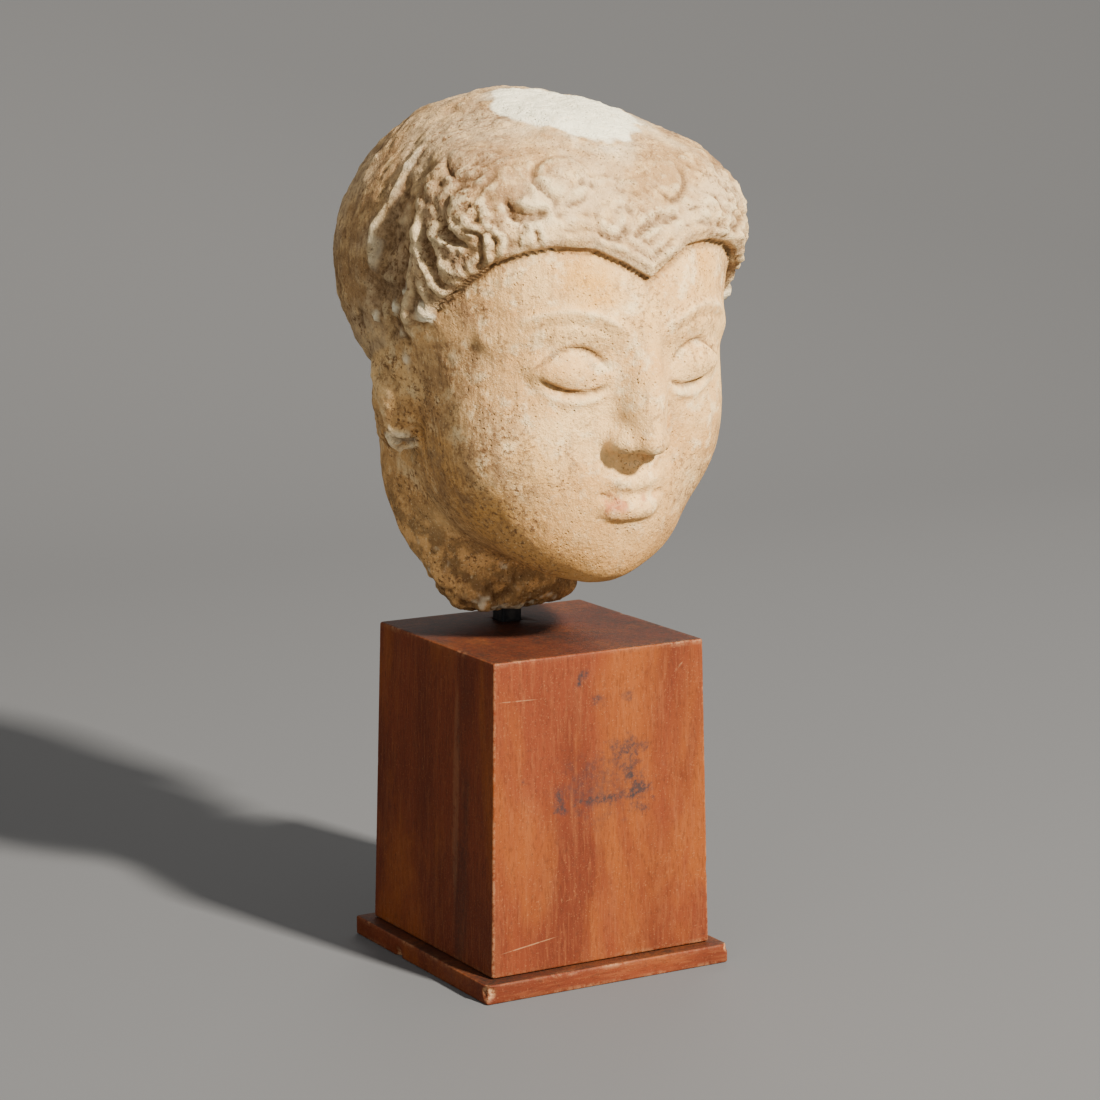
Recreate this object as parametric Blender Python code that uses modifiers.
# Stucco head of a seated teacher with waved hair, broken at the neck, carried on a
# square steel bar above a tapered hardwood plinth with a thin foot board.
import math

import bmesh
import bpy
import numpy as np
from mathutils import Vector

# Driving dimensions in metres
fit_gap = 0.0003
board_width = 0.0895
board_height = 0.0063
block_bottom_width = 0.0804
block_top_width = 0.0765
block_height = 0.1000
wood_edge_round = 0.0008
bar_width = 0.0071
bar_back_offset = 0.0210
bar_depth_in_block = 0.0250
bar_depth_in_head = 0.0400
bar_visible_length = 0.0078
bar_edge_round = 0.0004
head_height = 0.1450
chin_above_neck_underside = 0.0201
head_back_offset = 0.0029
head_pitch = math.radians(9.0)
head_turn = math.radians(2.5)

# Grid on which the head's form is found, how much coarser its first pass is, the share
# of the faces kept for the solid, and the step that finds the slope of a field
head_columns = 264
head_rows = 220
first_pass = 4
kept_share = 0.075
slope_probe = 0.08

block_base = board_height + fit_gap
block_top = block_base + block_height
bar_base = block_top - bar_depth_in_block
neck_underside = block_top + bar_visible_length
bar_top = neck_underside + bar_depth_in_head
chin_height = neck_underside + chin_above_neck_underside
socket_width = bar_width + 2.0 * fit_gap
cutter_overrun = 0.0100
unit = head_height / 100.0

# All carving sizes below are hundredths of the height from chin to crown: x to the
# figure's left, f forward, z up from the chin. First the height of the hair edge round
# the head against the angle from the front in degrees.
edge_angle = np.array([0, 7, 15, 25, 33, 41, 50, 60, 70, 80, 92, 105, 125, 150, 180])
edge_height = np.array([69.2, 72.3, 74.8, 75.0, 73.5, 70.4, 64.3, 56.4, 50, 46, 42, 37, 30, 24, 21])
skull_middle = (0.0, -5.0, 60.0)
crown_break = 96.8
crown_break_fall = 0.06
crown_worn_from = 90.0
crown_worn_to = 93.5
front_hair_from = 82.0
front_hair_to = 93.0
rope_spacing = 2.8
strand_spacing = 2.9
coil_spacing = 3.0
lump_size = 6.5

# Locks of hair: middle, radius, swell, coil strength, coil direction, and the side of
# the deep groove in radians
hair_locks = [
    ((-15.2, 28.8, 87.6), 6.0, 1.2, 0.10, 1, -2.4),
    ((-34.0, 24.0, 80.2), 5.6, 0.6, 0.45, -1, 2.6),
    ((-7.5, 35.5, 80.0), 3.6, 0.7, 0.10, -1, -1.6),
    ((17.5, 31.3, 79.7), 3.4, 0.6, 0.30, 1, 1.2),
    ((9.0, 29.0, 87.5), 5.6, 0.5, 0.10, -1, -1.0),
    ((28.5, 22.0, 80.5), 6.0, 0.6, 0.28, 1, -0.6),
    ((20.0, 22.0, 88.5), 5.4, 0.5, 0.20, -1, -2.4),
    ((-27.5, 14.5, 87.5), 5.4, 0.3, 0.10, 1, -2.0),
    ((34.5, 11.0, 79.0), 5.6, 0.5, 0.28, -1, -1.6),
]

# Carved hollows in the hair: start, bend, end, depth and half width
hair_hollows = [
    ((-28.8, 29.8, 84.4), (-28.2, 33.0, 80.4), (-22.0, 34.0, 82.4), 2.7, 1.3),
    ((-11.0, 30.5, 89.0), (-7.5, 31.5, 93.0), (-2.5, 33.5, 87.5), 0.8, 1.0),
    ((-12.5, 31.0, 86.5), (-9.0, 32.0, 90.0), (-5.5, 34.0, 86.0), 0.6, 0.9),
    ((-2.5, 39.5, 78.0), (4.0, 38.0, 82.5), (10.5, 36.0, 80.0), 1.0, 0.8),
    ((-39.8, 14.0, 75.5), (-40.4, 16.0, 71.0), (-39.2, 19.5, 68.0), 2.2, 1.5),
    ((-38.6, 19.5, 77.5), (-38.2, 22.5, 74.5), (-36.0, 26.0, 74.0), 1.8, 0.7),
    ((15.0, 32.0, 83.5), (20.0, 32.0, 84.5), (23.0, 29.5, 80.0), 0.6, 0.8),
]

# Knobs of stucco left where the upper ear broke away, on both sides: middle and reach
ear_knobs = [
    ((40.0, 5.4, 56.6), 2.2),
    ((38.0, 16.4, 57.8), 2.6),
    ((40.0, -1.4, 53.2), 1.9),
    ((39.2, 9.0, 61.0), 1.6),
]
ear_lobe = (34.4, 4.4, 26.9)


# Soft union of two distance fields
def blend(a, b, k):
    h = np.clip(0.5 + (b - a) * (0.5 / k), 0.0, 1.0)
    return b + (a - b) * h - k * h * (1.0 - h)


# Soft intersection, used to cut one field by another
def cut(a, b, k):
    return -blend(-a, -b, k)


# Distance to an egg-shaped body
def egg(p, middle, radii):
    a = (p[0] - middle[0]) / radii[0]
    b = (p[1] - middle[1]) / radii[1]
    c = (p[2] - middle[2]) / radii[2]
    k = np.sqrt(a * a + b * b + c * c) + 1e-6
    a = a / radii[0]
    b = b / radii[1]
    c = c / radii[2]
    return k * (k - 1.0) / (np.sqrt(a * a + b * b + c * c) + 1e-6)


# Distance to a round-ended rod whose radius changes along its length
def rod(p, start, end, start_radius, end_radius):
    along = np.array(end, dtype=float) - np.array(start, dtype=float)
    x = p[0] - start[0]
    y = p[1] - start[1]
    z = p[2] - start[2]
    h = (x * along[0] + y * along[1] + z * along[2]) / (along * along).sum()
    h = np.clip(h, 0.0, 1.0)
    x = x - along[0] * h
    y = y - along[1] * h
    z = z - along[2] * h
    return np.sqrt(x * x + y * y + z * z) - (start_radius + (end_radius - start_radius) * h)


# Distance to a chain of rods through the given points
def strand(p, points, radii):
    nearest = rod(p, points[0], points[1], radii[0], radii[1])
    for i in range(1, len(points) - 1):
        nearest = np.minimum(nearest, rod(p, points[i], points[i + 1], radii[i], radii[i + 1]))
    return nearest


# Points along a bent line from a to c pulled toward b
def bend(a, b, c, count):
    t = np.linspace(0.0, 1.0, count)[:, None]
    return np.array(a) * (1.0 - t) ** 2 + 2.0 * np.array(b) * t * (1.0 - t) + np.array(c) * t ** 2


# Smooth step from 0 at a to 1 at b
def ramp(a, b, x):
    t = np.clip((x - a) / (b - a), 0.0, 1.0)
    return t * t * (3.0 - 2.0 * t)


# Repeatable values from -1 to 1 at the corners of a lattice, joined smoothly
def lattice(x, y, z, seed):
    xi = np.floor(x).astype(np.int64)
    yi = np.floor(y).astype(np.int64)
    zi = np.floor(z).astype(np.int64)
    fx = ramp(0.0, 1.0, x - xi)
    fy = ramp(0.0, 1.0, y - yi)
    fz = ramp(0.0, 1.0, z - zi)

    def corner(i, j, k):
        n = (xi + i) * 374761393 + (yi + j) * 668265263 + (zi + k) * 2147483647 + seed * 1274126177
        n = (n ^ (n >> 13)) * 1103515245 & 0xFFFFFFFF
        n = (n ^ (n >> 16)) * 2654435761 & 0xFFFFFFFF
        return ((n >> 8) & 0xFFFF) / 32767.5 - 1.0

    low = (corner(0, 0, 0) * (1.0 - fx) + corner(1, 0, 0) * fx) * (1.0 - fy)
    low = low + (corner(0, 1, 0) * (1.0 - fx) + corner(1, 1, 0) * fx) * fy
    high = (corner(0, 0, 1) * (1.0 - fx) + corner(1, 0, 1) * fx) * (1.0 - fy)
    high = high + (corner(0, 1, 1) * (1.0 - fx) + corner(1, 1, 1) * fx) * fy
    return low * (1.0 - fz) + high * fz


# Uneven wear: layers of lattice values, each twice as fine and half as strong
def wear(p, size, layers, seed):
    total = 0.0
    strength = 1.0
    reach = 0.0
    for layer in range(layers):
        k = 2.03 ** layer / size
        total = total + strength * lattice(p[0] * k, p[1] * k, p[2] * k, seed + 17 * layer)
        reach = reach + strength
        strength = strength * 0.5
    return total / reach


# Angle round the head, height above the hair edge, and how much is the raised front hair
def hair_place(p):
    angle = np.degrees(np.arctan2(p[0], p[1] + 6.0))
    rise = p[2] - np.interp(np.abs(angle), edge_angle, edge_height)
    front = ramp(74.0, 64.0, np.abs(angle) + 1.6 * np.sin(p[2] * 0.31))
    front = front + (1.0 - front) * ramp(front_hair_from, front_hair_to, p[2])
    return angle, rise, front


def hair_thickness(p):
    angle, rise, front = hair_place(p)
    step = ramp(-0.7, 1.0, rise)
    roll = ramp(-0.7, 3.2, rise) * (1.0 - 0.75 * ramp(9.0, 24.0, rise))
    raised = step + roll * (0.9 + 0.8 * ramp(4.0, 32.0, np.abs(angle)))
    return front * raised + (1.0 - front) * 0.5 * ramp(-1.0, 2.5, rise)


# Skull, jaw, cheeks and chin, the ear scars, and the slope of the broken crown
def head_mass(p, x):
    d = egg(p, (0, -5, 61.5), (40.6, 46.0, 36.5))
    d = blend(d, egg(p, (21, 12.5, 76.5), (15.5, 18.5, 14.0)), 8)
    d = blend(d, egg(p, (0, 8.5, 46), (33.8, 34.2, 46)), 9)
    d = blend(d, egg(p, (0, 12, 21), (26.5, 26.5, 19.0)), 9)
    d = blend(d, egg(p, (0, 32.0, 8.2), (8.8, 8.6, 8.0)), 8)
    d = blend(d, egg(p, (17.5, 23.0, 32), (14.5, 14.0, 18)), 10)
    d = blend(d, egg(p, (0, 32.0, 22), (13.5, 10.5, 10.5)), 8)
    d = blend(d, egg(p, (8.5, 27.5, 13), (11.0, 11.0, 10.0)), 8)
    d = blend(d, neck_stump(p, x), 4)
    d = blend(d, egg(p, (33.8, 0.5, 38), (4.9, 7.5, 15.5)), 3.0)
    return cut(d, p[2] - crown_break + crown_break_fall * (x - 5.0), 2.0)


# Neck broken off below on a level and three slopes
def neck_stump(p, x):
    neck = rod(p, (0, -12.5, -16), (0, -13.5, 26), 22.5, 26.0)
    neck = cut(neck, -15.6 - p[2], 2.0)
    neck = cut(neck, (-8.6 - p[2] + 0.75 * (-p[1] - 17.0) - 0.5 * (x + 3.0)) * 0.72, 5.0)
    neck = cut(neck, (-19.5 - p[2] + 0.9 * (p[1] - 2.0)) * 0.74, 3.0)
    return cut(neck, (-19.5 - p[2] + 0.8 * (x - 6.0)) * 0.78, 4.0)


# Whole head with a calm, even face; the plain one has no wings, nostrils or lips
def head_field(p, plain):
    x = np.abs(p[0])
    f = p[1]
    z = p[2]
    q = np.stack([x, f, z])
    d = head_mass(q, p[0]) - hair_thickness(p)
    d = cut(d, -egg(q, (14.8, 49.6, 52.6), (12.4, 8.6, 6.2)), 3.2)
    brow = bend((0, 38.4, 57), (13.5, 41.6, 64.0), (28.5, 27.4, 54.5), 10)
    d = blend(d, strand(q, brow, np.linspace(2.3, 1.4, 10)), 4.2)
    nose = rod(q, (0, 40.2, 59), (0, 48.3, 35.6), 2.7, 3.3)
    nose = blend(nose, egg(q, (0, 41.6, 42), (5.8, 7.2, 12.0)), 2.6)
    eyeball = egg(q, (15.0, 32.8, 49.4), (9.8, 8.4, 6.5))
    if plain:
        nose = cut(nose, 30.0 - z + 0.38 * (f - 44.0), 1.5)
        return blend(blend(d, nose, 2.6), eyeball, 2.0)
    nose = blend(nose, egg(q, (4.7, 42.8, 34.4), (2.8, 4.8, 3.2)), 2.8)
    nose = cut(nose, 32.6 - z + 0.12 * (f - 44.0), 0.7)
    d = blend(d, nose, 2.0)
    d = blend(d, eyeball, 1.2)
    return cut_mouth(blend_lips(d, q), q)


def blend_lips(d, q):
    share = np.linspace(0.0, 1.0, 12)
    upper = bend((0, 42.5, 24.6), (4.6, 43.9, 27.2), (12.4, 34.8, 24.2), 12)
    d = blend(d, strand(q, upper, np.interp(share, [0, 0.3, 0.6, 1], [1.7, 2.2, 1.8, 0.7])), 0.8)
    lower = bend((0, 42.5, 19.6), (6.4, 43.2, 18.4), (11.4, 35.2, 22.6), 12)
    return blend(d, strand(q, lower, np.interp(share, [0, 0.35, 0.7, 1], [2.6, 2.5, 1.7, 0.7])), 0.9)


def cut_mouth(d, q):
    mouth = bend((0, 45.4, 22.4), (5.8, 45.6, 21.2), (12.8, 35.8, 24.6), 10)
    d = cut(d, -strand(q, mouth, np.linspace(0.85, 0.55, 10)), 0.6)
    d = cut(d, -rod(q, (12.8, 36.2, 24.6), (13.8, 35.0, 25.4), 0.9, 0.7), 1.4)
    return cut(d, -rod(q, (0, 45.2, 30.4), (0, 46.1, 27.4), 1.2, 1.1), 1.4)


# Height of a shallow arch over the eye at x, as a distance above it and a share along it
def eye_arch(x, z, inner, bow, outer):
    t = (x - inner[0]) / (outer[0] - inner[0])
    s = np.clip(t, 0.0, 1.0)
    height = inner[1] * (1.0 - s) ** 2 + 2.0 * bow * s * (1.0 - s) + outer[1] * s * s
    slope = 2.0 * ((bow - inner[1]) * (1.0 - s) + (outer[1] - bow) * s) / (outer[0] - inner[0])
    return (z - height) / np.sqrt(1.0 + slope * slope), ramp(0.0, 0.2, t) * ramp(0.0, 0.2, 1.0 - t)


# Strands side by side: rounded tops with a narrow crease at every half turn of the phase
def strand_wave(phase):
    return 2.0 * np.abs(np.cos(phase / 2.0)) ** 0.6 - 1.35


# One worn lock: a low dome, a groove deep on one side only, and a coil that winds inward
def lock(p, middle, radius, swell, coil, turn, deep_side):
    way = np.array(middle) - np.array(skull_middle)
    way = way / np.sqrt((way * way).sum())
    side = np.array([way[1], -way[0], 0.0]) / math.hypot(way[0], way[1])
    over = np.cross(side, way)
    dx = sum((p[i] - middle[i]) * side[i] for i in range(3))
    dz = sum((p[i] - middle[i]) * over[i] for i in range(3))
    depth = sum((p[i] - middle[i]) * way[i] for i in range(3))
    far = np.sqrt(dx * dx + dz * dz) * (1.0 + 0.22 * wear(p, 5.0, 2, 61))
    around = np.arctan2(dz, dx)
    dome = np.sqrt(np.clip(1.0 - (far / radius) ** 2, 0.0, 1.0))
    rim = np.exp(-((far - radius) / 0.9) ** 2) * ramp(-0.5, 0.8, np.cos(around - deep_side))
    rim = rim * ramp(-0.5, 0.3, wear(p, 6.0, 2, 64))
    wind = strand_wave(around * turn - 2.0 * np.pi * far / coil_spacing + 1.0)
    wind = wind * ramp(-0.4, 0.3, wear(p, 4.0, 2, 63))
    return ramp(-14.0, -8.0, depth) * (swell * dome - 0.9 * rim + coil * ramp(0.0, 0.5, dome) * wind)


# Rounded worn lumps with narrow creases between them
def lumps(p, size, seed):
    bent = [p[i] + 0.4 * size * wear(p, size * 1.3, 2, seed + i) for i in range(3)]
    return np.clip(2.6 * np.abs(wear(bent, size, 2, seed + 5)), 0.0, 1.0) - 0.5


# Locks, ropes beside the hair edge, drilled temples and loose curls
def hair_carving(p, angle, rise):
    turn = np.abs(angle)
    crown = ramp(crown_worn_to, crown_worn_from, p[2])
    worn = 0.5 + 0.5 * wear(p, 9.0, 2, 71)
    out = crown * sum(lock(p, *values) for values in hair_locks) * (0.8 + 0.4 * worn)

    ropes = ramp(46.0, 30.0, np.abs(angle - 14.0)) * ramp(0.0, 0.8, rise) * ramp(11.5, 8.0, rise)
    ripple = rise + 0.5 * wear(p, 5.0, 2, 4)
    out = out + ropes * 0.46 * (0.3 + 0.9 * worn) * strand_wave(2.0 * np.pi * ripple / rope_spacing)

    temple = ramp(24.0, 32.0, turn) * ramp(67.0, 62.0, turn) * ramp(0.2, 2.0, rise) * ramp(19.0, 11.0, rise)
    slant = 0.60 * p[2] - 0.54 * turn + 4.6 * wear(p, 7.0, 2, 43)
    lengthwise = 0.42 * turn + 0.77 * p[2]
    drilled = ramp(0.08, 0.42, wear((slant, 0.42 * lengthwise, 0.0 * slant), 2.3, 2, 47))
    drilled = drilled * ramp(0.8, 3.5, rise)
    strands = 0.5 * ramp(-0.4, 0.2, wear(p, 5.5, 2, 49)) * strand_wave(2.0 * np.pi * slant / strand_spacing)
    out = out + temple * (0.15 + strands + 0.38 * lumps(p, 4.6, 44) - 1.1 * drilled)

    smooth = ramp(-4.0, 12.0, angle) * ramp(40.0, 30.0, angle) * ramp(8.0, 13.0, rise)
    loose = (1.0 - ropes) * (1.0 - 0.75 * temple) * crown * ramp(0.3, 2.0, rise)
    out = out + loose * (1.0 - 0.75 * smooth) * 0.8 * lumps(p, lump_size, 41)

    tapered = np.interp(np.linspace(0.0, 1.0, 8), [0.0, 0.45, 1.0], [0.1, 1.0, 0.1])
    for a, b, c, depth, half_width in hair_hollows:
        out = out - depth * ramp(half_width, 0.1, strand(p, bend(a, b, c, 8), tapered))
    return out


# Distance from a spot that is the same on both sides of the head
def off_side_spot(p, middle):
    return np.sqrt((np.abs(p[0]) - middle[0]) ** 2 + (p[1] - middle[1]) ** 2 + (p[2] - middle[2]) ** 2)


# Broken strip with a standing edge beside the front hair, ear scar and broken neck
def side_carving(p, angle):
    turn = np.abs(angle)
    strip = ramp(66.0, 70.0, turn) * ramp(88.0, 80.0, turn)
    strip = strip * ramp(44.0, 54.0, p[2]) * ramp(91.0, 82.0, p[2])
    out = -strip * (1.2 + 1.5 * wear(p, 4.5, 2, 21))
    edge = np.exp(-((turn - 85.0 - 3.5 * wear(p, 9.0, 2, 23)) / 1.8) ** 2)
    out = out + edge * ramp(60.0, 66.0, p[2]) * ramp(91.0, 84.0, p[2]) * (0.9 + 1.2 * wear(p, 4.0, 2, 25))
    scar = ramp(13.0, 8.0, np.abs(p[1] - 0.5)) * ramp(20.0, 24.0, p[2]) * ramp(60.0, 52.0, p[2])
    out = out + scar * ramp(26.0, 30.0, np.abs(p[0])) * (1.3 * wear(p, 5.0, 2, 27) - 0.2)
    for middle, reach in ear_knobs:
        out = out + 1.1 * ramp(reach, 0.45 * reach, off_side_spot(p, middle) + 1.5 * wear(p, 2.0, 3, 26))
    out = out + 0.9 * ramp(4.4, 3.0, off_side_spot(p, ear_lobe) + 0.8 * wear(p, 2.5, 2, 90))
    broken = ramp(-2.0, -9.0, p[2] - 0.35 * np.clip(-p[1] - 15.0, 0.0, 30.0)) * ramp(25.0, 16.0, p[1])
    return out + broken * 1.3 * wear(p, 7.0, 2, 29)


# Carving raised above or sunk below the plain form, measured along its surface normal
def carving(p):
    angle, rise, front = hair_place(p)
    out = front * ramp(0.0, 1.4, rise) * hair_carving(p, angle, rise)
    out = out + side_carving(p, angle)
    out = out + ramp(0.0, 2.0, rise) * 0.36 * wear(p, 8.0, 2, 31)
    x = np.abs(p[0])
    face = ramp(24.0, 30.0, p[1])
    far, along = eye_arch(x, p[2], (6.9, 47.2), 42.4, (23.6, 48.4))
    out = out - 0.95 * face * along * np.exp(-((far / 0.8) ** 2))
    far, along = eye_arch(x, p[2], (6.6, 49.2), 60.2, (24.6, 48.8))
    out = out - 0.8 * face * along * np.exp(-((far / 0.8) ** 2))
    far, along = eye_arch(x, p[2], (3.4, 57.2), 67.6, (28.5, 57.2))
    return out + 0.55 * face * along * np.exp(-((far / 1.0) ** 2))


# Starting points and directions of the grid's rays: they fan out over the crown, run
# nearly level down the face from an upright axis, and fan in again under the neck
def rays(columns, rows):
    share = np.linspace(0.0, 1.0, rows + 2)[1:-1]
    stops = [0.0, 0.27, 0.42, 0.66, 0.80, 1.0]
    climb = np.radians(np.interp(share, stops, [90, 24, 6, -12, -34, -90]))
    height = np.interp(share, stops, [58, 58, 46, 24, 12, 4])
    forward = np.interp(share, stops, [0, 0, 0, -2, -6, -10])
    round_head = np.linspace(-np.pi, np.pi, columns, endpoint=False)
    turn = round_head - 0.45 * np.sin(round_head)
    turn, climb = np.meshgrid(turn, climb)
    way = np.stack([np.sin(turn) * np.cos(climb), np.cos(turn) * np.cos(climb), np.sin(climb)])
    start = np.zeros_like(way)
    start[1] = forward[:, None]
    start[2] = height[:, None]
    return start, way


def slope_of(p, field, value):
    out = []
    for axis in range(3):
        q = p.copy()
        q[axis] = q[axis] + slope_probe
        out.append((field(q) - value) / slope_probe)
    return np.stack(out)


# Mean of the four neighbours on the grid minus the point itself
def drift(p):
    above = np.repeat(p[:, :1].mean(2, keepdims=True), p.shape[2], 2)
    below = np.repeat(p[:, -1:].mean(2, keepdims=True), p.shape[2], 2)
    up = np.concatenate([above, p[:, :-1]], 1)
    down = np.concatenate([p[:, 1:], below], 1)
    return (up + down + np.roll(p, 1, 2) + np.roll(p, -1, 2)) / 4.0 - p


# Even out the grid along the surface while holding every point on it
def settle(p, field, rounds):
    for i in range(rounds):
        value = field(p)
        slope = slope_of(p, field, value)
        size = (slope * slope).sum(0) + 1e-6
        normal = slope / np.sqrt(size)
        slide = drift(p)
        slide = slide - (slide * normal).sum(0) * normal
        p = p + 0.6 * slide - np.clip(value, -0.8, 0.8) / np.maximum(size, 0.6) * slope
    return p


# Values of a coarse grid spread evenly over a finer one
def spread(values, rows, columns):
    row = np.linspace(0.0, values.shape[0] - 1.0, rows)
    column = np.arange(columns) * values.shape[1] / columns
    low = np.clip(row.astype(int), 0, values.shape[0] - 2)
    left = column.astype(int)
    right = (left + 1) % values.shape[1]
    part = (row - low)[:, None]
    side = (column - left)[None, :]
    top = values[low][:, left] * (1.0 - side) + values[low][:, right] * side
    bottom = values[low + 1][:, left] * (1.0 - side) + values[low + 1][:, right] * side
    return top * (1.0 - part) + bottom * part


# Distance out along each ray to the plain head
def reach_out(start, way, reach, steps):
    for i in range(steps):
        reach = reach - 0.85 * head_field(start + way * reach, True)
    return reach


# Points of the finished head on its grid, in hundredths of its height
def head_points():
    start, way = rays(head_columns // first_pass, head_rows // first_pass)
    reach = reach_out(start, way, np.full(way.shape[1:], 90.0), 36)
    reach = np.maximum(np.maximum(reach, np.roll(reach, 1, 1)), np.roll(reach, -1, 1))
    reach[1:-1] = np.maximum(np.maximum(reach[1:-1], reach[:-2]), reach[2:])
    start, way = rays(head_columns, head_rows)
    p = start + way * reach_out(start, way, spread(reach, head_rows, head_columns) + 1.0, 20)
    for grown in np.linspace(0.2, 1.0, 5):
        p = settle(p, lambda q: (1.0 - grown) * head_field(q, True) + grown * head_field(q, False), 2)
    whole = lambda q: head_field(q, False)
    p = settle(p, whole, 2)
    slope = slope_of(p, whole, whole(p))
    normal = slope / (np.sqrt((slope * slope).sum(0)) + 1e-9)
    return p + normal * carving(p)


# From head hundredths to metres in the finished object's frame
def placed(points):
    x = points[0]
    y = -points[1]
    z = points[2] - 50.0
    lean_y = y * math.cos(head_pitch) - z * math.sin(head_pitch)
    lean_z = y * math.sin(head_pitch) + z * math.cos(head_pitch)
    turned_x = x * math.cos(head_turn) - lean_y * math.sin(head_turn)
    turned_y = x * math.sin(head_turn) + lean_y * math.cos(head_turn)
    out_y = turned_y * unit + head_back_offset
    out_z = (lean_z + 50.0) * unit + chin_height
    return np.stack([turned_x * unit, out_y, out_z], -1)


def make_collection(name):
    group = bpy.data.collections.new(name)
    bpy.context.scene.collection.children.link(group)
    return group


def make_material(name, color, roughness, metallic):
    material = bpy.data.materials.new(name)
    material.use_nodes = True
    shader = material.node_tree.nodes["Principled BSDF"]
    shader.inputs["Base Color"].default_value = color
    shader.inputs["Roughness"].default_value = roughness
    shader.inputs["Metallic"].default_value = metallic
    return material


def add_object(name, bm, group, material):
    mesh = bpy.data.meshes.new(name)
    bm.to_mesh(mesh)
    bm.free()
    thing = bpy.data.objects.new(name, mesh)
    group.objects.link(thing)
    if material is not None:
        mesh.materials.append(material)
    return thing


# Box between two heights, its width changing from the bottom to the top
def box_body(bottom_width, top_width, low, high, back):
    bm = bmesh.new()
    bmesh.ops.create_cube(bm, size=2.0)
    for vert in bm.verts:
        half = 0.5 * (top_width if vert.co.z > 0.0 else bottom_width)
        vert.co = Vector((vert.co.x * half, vert.co.y * half + back, high if vert.co.z > 0.0 else low))
    return bm


def round_edges(thing, size):
    bevel = thing.modifiers.new("edge round", "BEVEL")
    bevel.width = size
    bevel.segments = 2
    bevel.limit_method = "ANGLE"


def thin_faces(thing, share):
    fewer = thing.modifiers.new("fewer faces", "DECIMATE")
    fewer.decimate_type = "COLLAPSE"
    fewer.ratio = share
    fewer.use_collapse_triangulate = True


def cut_with(thing, cutter, name):
    boolean = thing.modifiers.new(name, "BOOLEAN")
    boolean.operation = "DIFFERENCE"
    boolean.solver = "EXACT"
    boolean.object = cutter


# Sphere grid moved onto the carved head
def head_body():
    grid = placed(head_points())
    bm = bmesh.new()
    bmesh.ops.create_uvsphere(bm, u_segments=head_columns, v_segments=head_rows + 1, radius=1.0)
    for vert in bm.verts:
        turn = math.atan2(vert.co.y, vert.co.x) % (2.0 * math.pi)
        column = round(turn / (2.0 * math.pi) * head_columns) - head_columns // 4
        climb = math.asin(max(-1.0, min(1.0, vert.co.z)))
        row = round((math.pi / 2.0 - climb) / math.pi * (head_rows + 1)) - 1
        if row < 0:
            vert.co = Vector(grid[0].mean(0))
        elif row >= head_rows:
            vert.co = Vector(grid[-1].mean(0))
        else:
            vert.co = Vector(grid[row, column % head_columns])
    for face in bm.faces:
        face.smooth = True
    return bm


def main():
    for thing in list(bpy.data.objects):
        bpy.data.objects.remove(thing, do_unlink=True)
    parts = make_collection("buddha_head_on_plinth")
    cutters = make_collection("buddha_head_on_plinth_cutters")

    stucco = make_material("stucco", (0.70, 0.58, 0.42, 1.0), 0.85, 0.0)
    steel = make_material("blackened_steel", (0.03, 0.03, 0.03, 1.0), 0.5, 0.8)
    hardwood = make_material("plinth_hardwood", (0.16, 0.045, 0.025, 1.0), 0.4, 0.0)
    board_wood = make_material("foot_board_hardwood", (0.12, 0.04, 0.025, 1.0), 0.45, 0.0)

    bar_body = box_body(bar_width, bar_width, bar_base, bar_top, bar_back_offset)
    block_body = box_body(block_bottom_width, block_top_width, block_base, block_top, 0.0)
    board_body = box_body(board_width, board_width, 0.0, board_height, 0.0)
    head = add_object("stucco_head", head_body(), parts, stucco)
    bar = add_object("support_bar", bar_body, parts, steel)
    block = add_object("plinth_block", block_body, parts, hardwood)
    board = add_object("foot_board", board_body, parts, board_wood)
    thin_faces(head, kept_share)
    round_edges(bar, bar_edge_round)
    round_edges(block, wood_edge_round)
    round_edges(board, wood_edge_round)

    head_socket_low = neck_underside - cutter_overrun
    block_socket_high = block_top + cutter_overrun
    wide = socket_width
    head_socket_body = box_body(wide, wide, head_socket_low, bar_top + fit_gap, bar_back_offset)
    block_socket_body = box_body(wide, wide, bar_base - fit_gap, block_socket_high, bar_back_offset)
    head_socket = add_object("head_socket_cutter", head_socket_body, cutters, None)
    block_socket = add_object("block_socket_cutter", block_socket_body, cutters, None)
    for cutter in (head_socket, block_socket):
        cutter.hide_render = True
        cutter.display_type = "WIRE"
    cut_with(head, head_socket, "bar socket")
    cut_with(block, block_socket, "bar socket")


main()
